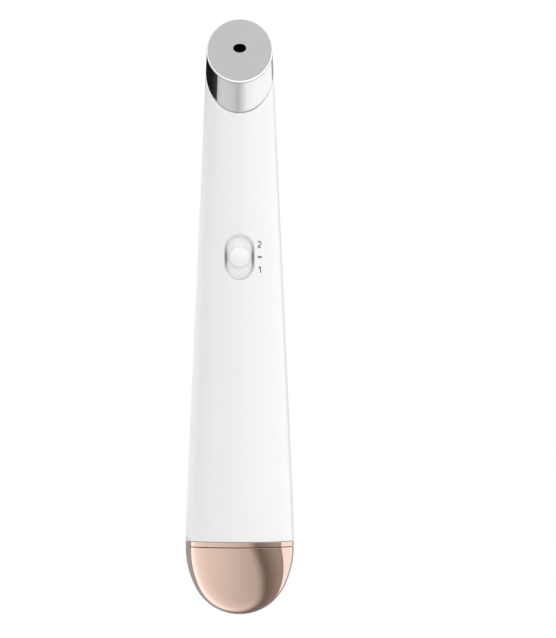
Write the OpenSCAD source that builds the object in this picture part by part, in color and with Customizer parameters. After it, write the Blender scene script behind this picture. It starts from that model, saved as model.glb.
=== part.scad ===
// Heated eye massager wand: a slim cordless wand that stands on its centre line, +Z up.
// The origin is the lowest point of the domed end cap, and the slide switch faces -Y.
// All sizes are in millimetres.

/* [Body tube] */
// Outer radius of the body at its wide lower end
body_r = 13.2; // [13:0.1:14.5]
// Half angle at which the tube narrows towards the head, in degrees
taper = 2.6; // [2:0.1:3]
// Length of the soft shoulder between the wide end and the straight taper
shoulder_h = 12; // [8:1:16]
// Wall thickness of the moulded body tube
wall = 1.8; // [1.6:0.1:1.9]

/* [Head] */
// Slope of the treatment face, in degrees from level
face_tilt = 45; // [40:1:48]
// Height of the chrome side wall at the front, below the low edge of the face
band_front = 7.7; // [6.5:0.1:9]
// Height of the chrome side wall at the back
band_back = 3.3; // [3:0.1:5]
// Wall thickness of the metal head
head_wall = 1; // [0.8:0.1:1.1]
// Diameter of the light hole in the middle of the face
lens_hole_d = 3.1; // [2.8:0.1:3.6]
// Depth of the lens below the face
lens_recess = 0.3; // [0.2:0.05:0.5]
// Thickness of the lens
lens_t = 1.2; // [1:0.1:1.6]
// Thickness of the gasket in the slanted seam
seal_t = 0.2; // [0.2:0.05:0.4]
// Radial width of that gasket
seal_w = 0.8; // [0.6:0.05:0.8]
// Diameter of the heating disc
heater_d = 10.6; // [9:0.1:11]
// Thickness of the heating disc
heater_t = 0.6; // [0.4:0.1:0.8]
// Thickness of the heat pad between disc and face
pad_t = 0.3; // [0.2:0.05:0.5]
// Wall thickness of the insulating plug's skirt
plug_wall = 0.9; // [0.7:0.1:1.1]
// Thickness of the plug's ceiling under the heating disc
plug_ceiling = 2; // [1.6:0.1:2.4]
// Length of the plug's grip in the body tube below the seam
plug_grip = 4; // [3:0.5:5]
// Room between the top of the spinning weight and the centre of the face
head_room = 12.6; // [12.2:0.1:14]

/* [End cap] */
// Height of the domed end cap
cap_h = 16.6; // [16:0.1:18]
// How much smaller the radius of the cap's round tip is than the body's
tip_drop = 1.1; // [0.9:0.1:1.4]
// Wall thickness of the metal cap
cap_wall = 1.2; // [1:0.05:1.3]
// Height of the thin collar ring above the cap
ring_h = 1.3; // [0.8:0.1:1.6]
// Open seam between cap and collar
seam_gap = 0.2; // [0.15:0.05:0.3]
// Distance of the neck's outside inwards from the middle between cell and body
spigot_in = 0.425; // [0.35:0.025:0.5]
// Height at which the neck ends inside the cap
neck_z = 9; // [8.9:0.1:9.4]
// Length of the neck inside the body tube
neck_grip = 8.3; // [6:0.1:10]
// Height of the liner's floor above the tip
liner_floor_z = 6; // [5.8:0.1:6.2]
// Thickness of the liner's floor
liner_floor_t = 1.4; // [1:0.1:1.8]
// Thickness of the sealing ring's cord
seal_ring_d = 1.2; // [1:0.1:1.4]
// Height of the sealing ring
seal_ring_z = 13; // [12.4:0.1:13.4]

/* [Slide switch] */
// Diameter of the round slide knob
knob_d = 5; // [4.6:0.1:5.2]
// Height of the knob's crown above the body tube
knob_proud = 0.4; // [0.2:0.1:0.8]
// Height of the knob's domed crown
knob_dome = 0.7; // [0.4:0.1:1]
// Travel of the knob either side of its middle position
slide_travel = 2.3; // [2:0.1:2.4]
// Depth of the recess round the knob
recess_depth = 1.2; // [1.1:0.05:1.25]
// Width of the recess floor
recess_floor_w = 5.8; // [5.6:0.1:6]
// How much the recess wall flares out on each side up to the surface
recess_flare = 0.85; // [0.6:0.05:1]
// Thickness of the shutter plate behind the recess
shutter_t = 0.8; // [0.7:0.05:0.9]
// Width of the shutter plate
shutter_w = 6.9; // [6.7:0.1:7]
// Thickness of the plate that retains the shutter
retainer_t = 0.7; // [0.6:0.05:0.8]
// Margin of the retaining plate round the shutter's pocket
retainer_margin = 0.85; // [0.7:0.05:0.9]
// Width of the boss behind the shutter
boss_w = 3.6; // [3.2:0.1:3.8]
// Length of the boss
boss_l = 4.4; // [4:0.1:4.8]
// Reach of the boss behind the shutter
boss_h = 1.6; // [1.4:0.1:1.7]
// Width of the switch lever
lever_w = 1.6; // [1.4:0.1:1.8]
// Length of the switch lever along its travel
lever_l = 2.4; // [2.2:0.1:2.6]
// Depth of the switch body on the board
switch_d = 3.2; // [3:0.1:3.3]
// Width of the switch body
switch_w = 5; // [4.6:0.1:5.6]
// Wall of the switch body round the lever's slot
switch_rim = 2.8; // [2:0.1:3.4]

/* [Battery] */
// Diameter of the cell
cell_d = 14.5; // [14:0.1:14.6]
// Length of the cell with its nub
cell_h = 50.5; // [48:0.5:54]
// Diameter of the nub
nub_d = 5.5; // [5:0.1:6]
// Height of the nub
nub_h = 1; // [0.8:0.1:1.4]
// Room for the pressed spring below the cell
spring_room = 5.5; // [5:0.1:6]
// Diameter of the spring wire
spring_wire_d = 0.7; // [0.5:0.05:0.8]
// Curls of the spring
spring_curls = 4; // [3:1:4]
// Thickness of the contact plates
contact_t = 0.4; // [0.3:0.05:0.5]
// Width of the return strip beside the cell
strip_w = 3; // [2.4:0.1:3.4]
// Thickness of the return strip
strip_t = 0.3; // [0.2:0.05:0.35]

/* [Chassis and board] */
// Wall of the tube round the cell
tube_t = 1; // [0.8:0.05:1]
// Wall of the chassis above the cell
chassis_t = 1; // [0.8:0.05:1]
// Thickness of the bulkhead above the cell
bulkhead_t = 1.5; // [1.2:0.1:2]
// Room between bulkhead and board, and between board and motor
board_room = 2; // [1.8:0.1:2.6]
// Clearance of the board's front edges in the chassis at its upper end
board_side_gap = 0.27; // [0.2:0.01:0.5]
// Clearance between the slide boss and the switch body
switch_gap = 0.48; // [0.3:0.02:0.6]
// Length of the circuit board
board_l = 36; // [34:0.5:40]
// Thickness of the circuit board
board_t = 1; // [0.8:0.1:1.2]
// Height of the slide switch above the board's lower end
switch_up = 20.8; // [19:0.1:21.5]
// Distance of each screw from the board's ends
screw_inset = 5; // [4.8:0.1:6]
// Distance of each screw from the board's long edges
screw_edge = 1.7; // [1.6:0.1:1.9]
// Shank diameter of the board screws
screw_d = 1.4; // [1.2:0.1:1.5]
// Head diameter of the board screws
screw_head_d = 2.6; // [2.4:0.1:2.6]
// Length of the screws below their heads
screw_l = 5; // [4:0.5:5]
// Height of the screw heads
screw_head_h = 0.8; // [0.6:0.1:1]
// Outer diameter of the screw posts
post_d = 3; // [2.8:0.1:3.2]
// Width of the control chip
chip_w = 5; // [4:0.5:6]
// Length of the control chip along the board
chip_l = 4; // [3:0.5:5]
// Thickness of the control chip
chip_t = 1.2; // [0.8:0.1:1.6]
// Diameter of the coil
coil_d = 4.4; // [3.6:0.2:5]
// Height of the coil
coil_h = 2.4; // [1.6:0.2:3]
// Length of the two capacitors along the board
capacitor_l = 2; // [1.6:0.2:3]
// Width of the two capacitors
capacitor_w = 1.2; // [0.8:0.1:1.4]
// Thickness of the two capacitors
capacitor_t = 0.8; // [0.6:0.1:1]
// Height of the return strip's tab above the board's lower end
tab_rise = 0.5; // [0.3:0.1:1]

/* [Motor] */
// Diameter of the vibration motor
motor_d = 8; // [7.6:0.1:8.2]
// Length of the motor's can
motor_h = 16; // [15:0.5:17]
// Thickness of the rubber sleeve round the motor
sleeve_t = 0.6; // [0.5:0.05:0.7]
// Diameter of the motor shaft
shaft_d = 1; // [0.8:0.1:1.5]
// Radius of the spinning weight
weight_r = 3.4; // [3:0.1:3.6]
// Height of the spinning weight
weight_h = 4.5; // [4:0.1:5]
// Room between the can and the spinning weight
weight_gap = 0.8; // [0.6:0.1:1]
// Diameter of the insulated wires
wire_d = 0.8; // [0.6:0.05:0.8]

/* [Fits] */
// Clearance of glued, seated and sliding round fits
fit_gap = 0.05; // [0.03:0.01:0.06]
// Clearance of the chassis in the body tube
chassis_gap = 0.15; // [0.1:0.01:0.2]
// Clearance round the cell
cell_gap = 0.2; // [0.15:0.05:0.25]
// End clearance of moving pieces in their slots
end_gap = 0.1; // [0.05:0.05:0.2]

/* [Hidden] */

turn_fn = 96;
small_fn = 32;
arc_fn = 720;
span = 400;

// Heights of the stack, from the cap's tip upwards
tip_r = body_r - tip_drop;
ring_z = cap_h + seam_gap;
ring_top = ring_z + ring_h;
neck_top = ring_top + neck_grip;
cell_z = liner_floor_z + contact_t + spring_room;
cell_top = cell_z + cell_h;
bulkhead_z = cell_top + fit_gap + contact_t;
board_z = bulkhead_z + bulkhead_t + board_room;
board_top = board_z + board_l;
slide_z = board_z + switch_up;
motor_z = board_top + board_room;
motor_top = motor_z + motor_h;
weight_z = motor_top + weight_gap;
weight_top = weight_z + weight_h;
face_z = weight_top + head_room;

// The tube's outline: a straight foot, an arc tangent to it, and a straight taper
arc_r = shoulder_h / sin(taper);
cone_z = ring_top + shoulder_h;
cone_r = body_r - arc_r * (1 - cos(taper));
cone_k = cone_r + cone_z * tan(taper);
function out_r(z) =
    z <= ring_top ? body_r :
    z <= cone_z ? body_r - arc_r + sqrt(pow(arc_r, 2) - pow(z - ring_top, 2)) :
    cone_k - z * tan(taper);

// Where a slanted plane through the axis at height z meets the taper, at the front and at the back
function front_cut(z, tilt) = (z - cone_k * tan(tilt)) / (1 - tan(taper) * tan(tilt));
function back_cut(z, tilt) = (z + cone_k * tan(tilt)) / (1 + tan(taper) * tan(tilt));

face_front_z = front_cut(face_z, face_tilt);
face_back_z = back_cut(face_z, face_tilt);
seam_front_z = face_front_z - band_front;
seam_back_z = face_back_z - band_back;
seam_tilt = atan((seam_back_z - seam_front_z) / (out_r(seam_front_z) + out_r(seam_back_z)));
seam_z = seam_front_z + out_r(seam_front_z) * tan(seam_tilt);
outline_top = face_back_z + 6;

// Insulating plug and what it carries
plug_z = seam_front_z - plug_grip;
plug_depth = head_wall + pad_t + heater_t + fit_gap;
plug_inset = wall + fit_gap + plug_wall;
ring_hole_d = lens_hole_d + 1;
led_d = 3;
led_flange_d = led_d + 0.2;
led_round_r = led_d / 2 + 0.2;
led_crown = led_round_r - sqrt(pow(led_round_r, 2) - pow(led_d / 2, 2));
led_depth = lens_recess + lens_t + fit_gap;
led_flange_depth = plug_depth + plug_ceiling;
led_flange_t = 0.6;
led_pin_l = 1.6;
led_pin_r = 0.25;
thermistor_size = [1.4, 1, 0.5];
thermistor_y = -3.6;

// Slide switch, measured inwards from the tube's front line
floor_half = recess_floor_w / 2;
recess_straight = knob_d / 2 + slide_travel + end_gap - floor_half;
shutter_y = recess_depth + fit_gap;
retainer_y = shutter_y + shutter_t + fit_gap;
shutter_half = recess_straight + floor_half + slide_travel + 1.2;
pocket_half = shutter_half + slide_travel + 3 * end_gap;
pocket_w = shutter_w + 4 * end_gap;
retainer_half = pocket_half + retainer_margin;
retainer_w = pocket_w + 2 * retainer_margin;
boss_y = shutter_y + shutter_t;

// Board and switch, in the part's own frame: the board lies as deep as the boss and switch need
switch_front_y = -out_r(slide_z) + boss_y + boss_h + switch_gap;
board_front_y = switch_front_y + switch_d;
board_back_y = board_front_y + board_t;
board_bore_r = out_r(board_top) - wall - chassis_gap - chassis_t;
board_w = 2 * (sqrt(pow(board_bore_r, 2) - pow(board_front_y, 2)) - board_side_gap);
screw_x = board_w / 2 - screw_edge;
slot_l = lever_l + 2 * slide_travel + 1.2;
lever_y = boss_y + 0.5;
lever_end_y = out_r(slide_z) + switch_front_y + 0.6 * switch_d;

// Cap, liner, neck and contacts
side_r = (pow(body_r, 2) + pow(cap_h - tip_r, 2) - pow(tip_r, 2)) / (2 * (body_r - tip_r));
spigot_r = (cell_d / 2 + body_r) / 2 - spigot_in;
bore_r = spigot_r + fit_gap;
ledge_z = neck_z - 0.3;
foot_z = neck_z - 0.2;
cell_r = cell_d / 2;
tube_in_r = cell_r + cell_gap;
tube_r = tube_in_r + tube_t;
strip_x = tube_in_r + fit_gap;
neck_stop_z = ring_top + 2;
contact_r = strip_x + strip_t + fit_gap;
tab_z = board_z + tab_rise;
groove_x = strip_x + strip_t + 2 * fit_gap;
seal_ring_r = bore_r - fit_gap / 2 - seal_ring_d / 2;

// Motor and wires
motor_r = motor_d / 2;
sleeve_r = motor_r + sleeve_t;
chassis_top = plug_z - chassis_gap;
shelf_t = 0.8;
wire_r = wire_d / 2;
wire_y = sleeve_r + 2 * fit_gap + wire_r;
wire_step = 0.3;
wire_low_z = board_top - screw_inset + post_d / 2 + wire_r + 2 * fit_gap;
motor_wire_z = wire_low_z + wire_d + 2 * fit_gap;
motor_wire_x = 1.8;
motor_wire_in = 1.5;
motor_wire_y = max(board_back_y + wire_r + fit_gap, -motor_wire_in);
heater_wire_x = 1.7;
led_wire_x = 0.55;

// Half of space below or above the level plane through the origin
module lower_half() {
    translate([-span / 2, -span / 2, -span]) cube(span);
}

module upper_half() {
    translate([-span / 2, -span / 2, 0]) cube(span);
}

// Frames on the treatment face, on the slanted seam and on the tube's front line
module at_face(depth = 0) {
    translate([0, 0, face_z]) rotate([face_tilt, 0, 0]) translate([0, 0, -depth]) children();
}

module at_seam(rise = 0) {
    translate([0, 0, seam_z]) rotate([seam_tilt, 0, 0]) translate([0, 0, rise]) children();
}

module at_front(slide = 0) {
    translate([0, -out_r(slide_z), slide_z]) rotate([-taper, 0, 0]) translate([0, 0, slide]) children();
}

// The tube's outline moved inwards, between two heights, and the solid turned from it
module body_outline(inset, z0, z1) {
    intersection() {
        union() {
            translate([0, -1]) square([body_r - inset, ring_top + 1]);
            intersection() {
                translate([body_r - inset - arc_r, ring_top]) circle(r = arc_r, $fn = arc_fn);
                translate([0, ring_top]) square([body_r, shoulder_h]);
            }
            polygon([
                [0, cone_z], [cone_r - inset, cone_z],
                [out_r(outline_top) - inset, outline_top], [0, outline_top]
            ]);
        }
        translate([0, z0]) square([body_r + 1, z1 - z0]);
    }
}

module body_solid(inset, z0, z1) {
    rotate_extrude($fn = turn_fn) body_outline(inset, z0, z1);
}

// The cap's outline moved inwards: a round tip that runs into a flatter side arc
module dome_outline(inset, z0, z1) {
    join_z = tip_r + (tip_r - inset) * (tip_r - cap_h) / (side_r - tip_r);
    intersection() {
        union() {
            intersection() {
                translate([0, tip_r]) circle(r = tip_r - inset, $fn = turn_fn * 2);
                square([body_r, join_z]);
            }
            intersection() {
                translate([body_r - side_r, cap_h]) circle(r = side_r - inset, $fn = turn_fn * 3);
                translate([0, join_z]) square([body_r, cap_h - join_z]);
            }
        }
        translate([0, z0]) square([body_r + 1, z1 - z0]);
    }
}

module dome_solid(inset, z0, z1) {
    rotate_extrude($fn = turn_fn) dome_outline(inset, z0, z1);
}

// A disc or tube between two heights
module disc(r, z0, z1, fn = turn_fn) {
    translate([0, 0, z0]) cylinder(r = r, h = z1 - z0, $fn = fn);
}

module tube(r, bore, z0, z1) {
    difference() {
        disc(r, z0, z1);
        disc(bore, z0 - 1, z1 + 1);
    }
}

// A box centred on x, given by its limits in y and z
module slab(w, y0, y1, z0, z1) {
    translate([-w / 2, y0, z0]) cube([w, y1 - y0, z1 - z0]);
}

// A round pin along +Y from y0 to y1
module pin_y(x, z, r, y0, y1) {
    translate([x, y0, z]) rotate([-90, 0, 0]) cylinder(r = r, h = y1 - y0, $fn = small_fn);
}

// A wire through a list of points, round at each turn
module wire(points, r) {
    for (i = [0 : len(points) - 2]) {
        run = points[i + 1] - points[i];
        translate(points[i])
            rotate([0, acos(run.z / norm(run)), atan2(run.y, run.x)])
                cylinder(r = r, h = norm(run), $fn = small_fn);
    }
    for (i = [1 : len(points) - 2])
        translate(points[i]) sphere(r = 1.04 * r, $fn = small_fn);
}

// ---- Body tube ----

// The flared stadium round the knob, cut from outside
module slide_recess() {
    rate = recess_flare / recess_depth;
    high = recess_depth + 1.5;
    rim = floor_half + high * rate;
    at_front() translate([0, recess_depth, 0]) {
        for (side = [-1, 1])
            translate([0, 0, side * recess_straight]) rotate([90, 0, 0])
                cylinder(r1 = floor_half, r2 = rim, h = high, $fn = turn_fn);
        translate([0, 0, -recess_straight])
            linear_extrude(2 * recess_straight)
                polygon([[-floor_half, 0], [floor_half, 0], [rim, -high], [-rim, -high]]);
        for (side = [-1, 1])
            translate([0, -0.5, side * recess_straight]) rotate([-90, 0, 0])
                cylinder(r = floor_half, h = 1.5, $fn = turn_fn);
        slab(recess_floor_w, -0.5, 1, -recess_straight, recess_straight);
    }
}

module body_shell() {
    color("white") difference() {
        intersection() {
            body_solid(0, ring_top, outline_top - 1);
            at_seam(-seal_t / 2) lower_half();
        }
        body_solid(wall, ring_top - 1, outline_top);
        slide_recess();
        at_front() slab(pocket_w, recess_depth, 5, -pocket_half, pocket_half);
        at_front() slab(retainer_w + 2 * fit_gap, retainer_y, 5,
            -retainer_half - fit_gap, retainer_half + fit_gap);
    }
}

// ---- Head ----

module head_cap() {
    color("silver") difference() {
        intersection() {
            body_solid(0, seam_front_z - 2, outline_top - 1);
            at_seam(seal_t / 2) upper_half();
            at_face() lower_half();
        }
        intersection() {
            body_solid(head_wall, seam_front_z - 3, outline_top);
            at_face(head_wall) lower_half();
        }
        at_face(2 * head_wall) cylinder(d = lens_hole_d, h = 3 * head_wall, $fn = small_fn);
    }
}

module head_seal() {
    color("dimgray") intersection() {
        difference() {
            body_solid(0.1, seam_front_z - 2, outline_top - 1);
            body_solid(0.1 + seal_w, seam_front_z - 3, outline_top);
        }
        at_seam(-seal_t / 2) upper_half();
        at_seam(seal_t / 2) lower_half();
    }
}

// Wires from the board, up behind the motor, to the heating disc and to the light
function rear_route(x, top) = [
    [x, board_back_y + wire_r + fit_gap, wire_low_z],
    [x, wire_y, wire_low_z],
    [x, wire_y, plug_z],
    [x, wire_y - wire_step, plug_z + 6 * wire_step],
    top
];
function face_point(x, y, depth) = [
    x,
    y * cos(face_tilt) + depth * sin(face_tilt),
    face_z + y * sin(face_tilt) - depth * cos(face_tilt)
];
heater_wire_y = heater_d / 2 - 2;
heater_end_depth = plug_depth + wire_r;
led_end_depth = led_flange_depth + led_flange_t + led_pin_l + wire_r;

module heater_wires(r) {
    for (side = [-1, 1])
        wire(rear_route(side * heater_wire_x,
            face_point(side * heater_wire_x, heater_wire_y, heater_end_depth)), r);
}

module led_wires(r) {
    for (side = [-1, 1])
        wire(rear_route(side * led_wire_x, face_point(side * led_wire_x, 0, led_end_depth)), r);
}

// Room in the plug for the light, its flange and its pins
module led_room() {
    at_face(plug_depth + plug_ceiling + 1)
        cylinder(d = led_d + 2 * fit_gap, h = plug_ceiling + 2, $fn = small_fn);
    at_face(led_flange_depth + led_flange_t + 2 * fit_gap)
        cylinder(d = led_flange_d + 2 * fit_gap, h = led_flange_t + 2 * fit_gap, $fn = small_fn);
    at_face(led_flange_depth + led_flange_t + led_pin_l + fit_gap)
        cylinder(r = led_wire_x + led_pin_r + fit_gap, h = led_pin_l + fit_gap, $fn = small_fn);
}

module head_plug() {
    color("dimgray") difference() {
        union() {
            intersection() {
                body_solid(wall + fit_gap, plug_z, outline_top - 1);
                at_seam(-seal_t / 2) lower_half();
                at_face(plug_depth) lower_half();
            }
            intersection() {
                body_solid(head_wall + fit_gap, plug_z, outline_top - 1);
                at_seam(-seal_t / 2) upper_half();
                at_face(plug_depth) lower_half();
            }
        }
        intersection() {
            body_solid(plug_inset, plug_z - 1, outline_top - 1);
            at_face(plug_depth + plug_ceiling) lower_half();
        }
        led_room();
        at_face(plug_depth + thermistor_size.z + fit_gap)
            translate([0, thermistor_y, 1])
                cube([thermistor_size.x + 0.2, thermistor_size.y + 0.2, 2], center = true);
        heater_wires(wire_r + fit_gap);
        led_wires(wire_r + fit_gap);
    }
}

module heat_ring(depth, t) {
    at_face(depth + t) difference() {
        cylinder(d = heater_d, h = t, $fn = turn_fn);
        translate([0, 0, -1]) cylinder(d = ring_hole_d, h = t + 2, $fn = small_fn);
    }
}

module thermal_pad() {
    color("lightskyblue") heat_ring(head_wall, pad_t);
}

module heater_plate() {
    color("ivory") heat_ring(head_wall + pad_t, heater_t);
}

module thermistor() {
    color("black")
        at_face(plug_depth + thermistor_size.z / 2)
            translate([0, thermistor_y, 0]) cube(thermistor_size, center = true);
}

module led() {
    led_h = led_flange_depth + led_flange_t - led_depth;
    color("tomato") {
        at_face(led_flange_depth + led_flange_t) rotate_extrude($fn = small_fn) {
            square([led_flange_d / 2, led_flange_t]);
            square([led_d / 2, led_h - led_crown]);
            intersection() {
                translate([0, led_h - led_round_r]) circle(r = led_round_r, $fn = small_fn * 2);
                translate([0, led_h - led_crown]) square([led_d / 2, led_crown]);
            }
        }
        for (side = [-1, 1])
            at_face(led_flange_depth + led_flange_t + led_pin_l)
                translate([side * led_wire_x, 0, 0])
                    cylinder(r = led_pin_r, h = led_pin_l + led_flange_t / 2, $fn = small_fn);
    }
}

module led_lens() {
    color("black")
        at_face(lens_recess + lens_t)
            cylinder(d = lens_hole_d - fit_gap, h = lens_t, $fn = small_fn);
}

// ---- Slide switch ----

module slider_button() {
    crown_y = -knob_proud;
    wall_y = crown_y + knob_dome;
    dome_r = (pow(knob_d / 2, 2) + pow(knob_dome, 2)) / (2 * knob_dome);
    color("whitesmoke") at_front() difference() {
        union() {
            slab(shutter_w, shutter_y, boss_y, -shutter_half, shutter_half);
            pin_y(0, 0, knob_d / 2, wall_y, shutter_y + 0.1);
            intersection() {
                pin_y(0, 0, knob_d / 2, crown_y, wall_y + 0.1);
                translate([0, crown_y + dome_r, 0]) sphere(r = dome_r, $fn = turn_fn);
            }
            slab(boss_w, boss_y - 0.1, boss_y + boss_h, -boss_l / 2, boss_l / 2);
        }
        slab(lever_w + 2 * fit_gap, lever_y, boss_y + boss_h + 1, -lever_l / 2 - fit_gap, lever_l / 2 + fit_gap);
    }
}

module switch_lever() {
    color("black") at_front()
        slab(lever_w, lever_y + fit_gap, lever_end_y, -lever_l / 2, lever_l / 2);
}

module slider_retainer() {
    color("gray") at_front() difference() {
        slab(retainer_w, retainer_y, retainer_y + retainer_t, -retainer_half, retainer_half);
        slab(boss_w + 6 * end_gap, retainer_y - 1, retainer_y + retainer_t + 1,
            -boss_l / 2 - slide_travel - 3 * end_gap, boss_l / 2 + slide_travel + 3 * end_gap);
    }
}

module switch_housing() {
    color("darkslategray") difference() {
        slab(switch_w, switch_front_y, board_front_y,
            slide_z - slot_l / 2 - switch_rim, slide_z + slot_l / 2 + switch_rim);
        slab(lever_w + 6 * end_gap, switch_front_y - 1, board_front_y - 0.15 * switch_d,
            slide_z - slot_l / 2, slide_z + slot_l / 2);
    }
}

// ---- Board ----

screw_heights = [board_z + screw_inset, board_top - screw_inset];

module circuit_board() {
    color("darkgreen") difference() {
        slab(board_w, board_front_y, board_back_y, board_z, board_top);
        for (x = [-screw_x, screw_x], z = screw_heights)
            pin_y(x, z, screw_d / 2 + 2 * fit_gap, board_front_y - 1, board_back_y + 1);
    }
}

module board_components() {
    chip_z = board_z + 0.42 * board_l;
    coil_z = board_z + 0.62 * board_l;
    low_z = board_z + 0.25 * board_l;
    color("black") {
        slab(chip_w, board_back_y, board_back_y + chip_t, chip_z - chip_l / 2, chip_z + chip_l / 2);
        pin_y(0, coil_z, coil_d / 2, board_back_y, board_back_y + coil_h);
        for (side = [-1, 1])
            translate([side * (coil_d + capacitor_w + coil_d / 4) / 2, 0, 0])
                slab(capacitor_w, board_back_y, board_back_y + capacitor_t,
                    coil_z - capacitor_l / 2, coil_z + capacitor_l / 2);
        slab(capacitor_l, board_back_y, board_back_y + capacitor_t, low_z, low_z + capacitor_w);
    }
}

module board_screws() {
    color("silver")
        for (x = [-screw_x, screw_x], z = screw_heights) {
            pin_y(x, z, screw_head_d / 2, board_front_y - screw_head_h, board_front_y);
            pin_y(x, z, screw_d / 2, board_front_y - 0.1, board_front_y + screw_l);
        }
}

// ---- Chassis ----

// Both halves in one: the tube round the cell, the trough round the board and the motor's seat
module chassis_whole() {
    inset = wall + chassis_gap;
    difference() {
        union() {
            intersection() {
                disc(tube_r, neck_stop_z, bulkhead_z + 0.1);
                body_solid(inset, ring_top, bulkhead_z + 1);
            }
            body_solid(inset, bulkhead_z, chassis_top);
            for (z = [neck_top + 1, (neck_top + bulkhead_z) / 2])
                body_solid(inset, z, z + tube_t);
        }
        disc(tube_in_r, neck_stop_z - 1, bulkhead_z);
        body_solid(inset + chassis_t, bulkhead_z + bulkhead_t, motor_z - shelf_t);
        disc(motor_r - shelf_t, motor_z - shelf_t - 1, motor_z + 1);
        disc(sleeve_r + fit_gap, motor_z, chassis_top + 1);
        slab(2 * (heater_wire_x + wire_r + 2 * fit_gap), 0, wire_y + wire_r + 2 * fit_gap,
            wire_low_z - wire_r - 2 * fit_gap, chassis_top + 1);
        translate([0, -strip_w / 2 - fit_gap, neck_stop_z - 1])
            cube([groove_x, strip_w + 2 * fit_gap, tab_z + strip_t + 2 * fit_gap + 1 - neck_stop_z]);
        slab(2 + 4 * fit_gap, board_back_y - 2 * fit_gap, board_back_y + strip_t + 4 * fit_gap,
            bulkhead_z - 1, bulkhead_z + bulkhead_t + 1);
        intersection() {
            at_front() slab(retainer_w + 1, -2, 6, -retainer_half - 0.5, retainer_half + 0.5);
            slab(retainer_w + 1, -body_r, 0, bulkhead_z + bulkhead_t, motor_z - shelf_t);
        }
    }
}

module chassis_front() {
    color("gray") intersection() {
        chassis_whole();
        slab(span, -span, -fit_gap / 2, 0, outline_top);
    }
}

module chassis_rear() {
    color("darkgray") difference() {
        union() {
            intersection() {
                chassis_whole();
                slab(span, fit_gap / 2, span, 0, outline_top);
            }
            intersection() {
                for (x = [-screw_x, screw_x], z = screw_heights)
                    pin_y(x, z, post_d / 2, board_back_y, body_r);
                body_solid(wall + chassis_gap + chassis_t / 2, bulkhead_z, chassis_top);
            }
        }
        for (x = [-screw_x, screw_x], z = screw_heights)
            pin_y(x, z, screw_d / 2 + fit_gap / 2, board_back_y - 1, board_front_y + screw_l + 0.5);
    }
}

// ---- Motor ----

module motor_can() {
    color("silver") difference() {
        union() {
            disc(motor_r, motor_z, motor_top);
            disc(1.3, motor_top - 0.1, motor_top + weight_gap / 2);
        }
        disc(shaft_d / 2 + fit_gap, motor_z + 4, motor_top + 1, small_fn);
    }
}

module motor_sleeve() {
    color("black") tube(sleeve_r, motor_r, motor_z, chassis_top - 0.5);
}

module motor_shaft() {
    color("gainsboro") disc(shaft_d / 2, motor_z + 4.2, weight_top + 0.3, small_fn);
}

module eccentric_weight() {
    color("goldenrod") difference() {
        union() {
            intersection() {
                disc(weight_r, weight_z, weight_top);
                slab(3 * weight_r, -2 * weight_r, 0, weight_z - 1, weight_top + 1);
            }
            disc(shaft_d / 2 + 0.7, weight_z, weight_top, small_fn);
        }
        disc(shaft_d / 2, weight_z - 1, weight_top + 1, small_fn);
    }
}

module heater_leads() {
    color("firebrick") heater_wires(wire_r);
}

module led_leads() {
    color("royalblue") led_wires(wire_r);
}

module motor_leads() {
    color("black")
        for (side = [-1, 1])
            wire([
                [side * motor_wire_x, board_back_y + wire_r + fit_gap, motor_wire_z],
                [side * motor_wire_x, motor_wire_y, (motor_wire_z + motor_z) / 2],
                [side * motor_wire_x, motor_wire_y, motor_z]
            ], wire_r);
}

// ---- Battery and its contacts ----

module battery_cell() {
    color("slategray") {
        disc(cell_r, cell_z, cell_top - nub_h);
        disc(nub_d / 2, cell_top - nub_h - 0.1, cell_top);
    }
}

module positive_contact() {
    color("gold") {
        disc(nub_d / 2 + 2, cell_top + fit_gap, bulkhead_z);
        slab(2, board_back_y + fit_gap, board_back_y + fit_gap + strip_t, cell_top + fit_gap, board_z + 3);
    }
}

module negative_strip() {
    tab_x = board_w / 2 - strip_w / 3;
    color("gold") {
        translate([strip_x, -strip_w / 2, foot_z]) cube([strip_t, strip_w, tab_z + strip_t - foot_z]);
        translate([strip_x, -strip_w / 2, foot_z]) cube([4 * strip_t, strip_w, neck_z - foot_z]);
        translate([tab_x, board_back_y + fit_gap, tab_z])
            cube([strip_x + strip_t - tab_x, strip_w / 2 - fit_gap - board_back_y, strip_t]);
    }
}

// ---- Neck, collar and end cap ----

module neck_sleeve() {
    color("dimgray") difference() {
        union() {
            disc(spigot_r, neck_z, ring_top + 0.1);
            body_solid(wall + fit_gap, ring_top, neck_top);
        }
        disc(strip_x - fit_gap, neck_z - 1, neck_top + 1);
        disc(tube_r + fit_gap, neck_stop_z, neck_top + 1);
        translate([0, -strip_w / 2 - fit_gap, neck_z - 1])
            cube([groove_x, strip_w + 2 * fit_gap, neck_top - neck_z + 2]);
        tube(spigot_r + 1, seal_ring_r - seal_ring_d / 2 - fit_gap / 2,
            seal_ring_z - 0.6 * seal_ring_d, seal_ring_z + 0.6 * seal_ring_d);
    }
}

module collar_ring() {
    color("rosybrown") tube(body_r, bore_r, ring_z, ring_top);
}

module end_cap() {
    color("rosybrown") difference() {
        dome_solid(0, 0, cap_h);
        dome_solid(cap_wall, 0, cap_h + 1);
        disc(body_r - cap_wall, cap_h - 0.1, cap_h + 1);
    }
}

module cap_liner() {
    color("dimgray") difference() {
        dome_solid(cap_wall + fit_gap, liner_floor_z - liner_floor_t, cap_h - 0.3);
        disc(contact_r + fit_gap, liner_floor_z, cap_h);
        disc(bore_r, ledge_z, cap_h);
    }
}

module cap_contact() {
    color("gold") {
        disc(contact_r, liner_floor_z, liner_floor_z + contact_t);
        tube(contact_r, contact_r - contact_t, liner_floor_z + contact_t - 0.1, foot_z - fit_gap);
    }
}

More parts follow.
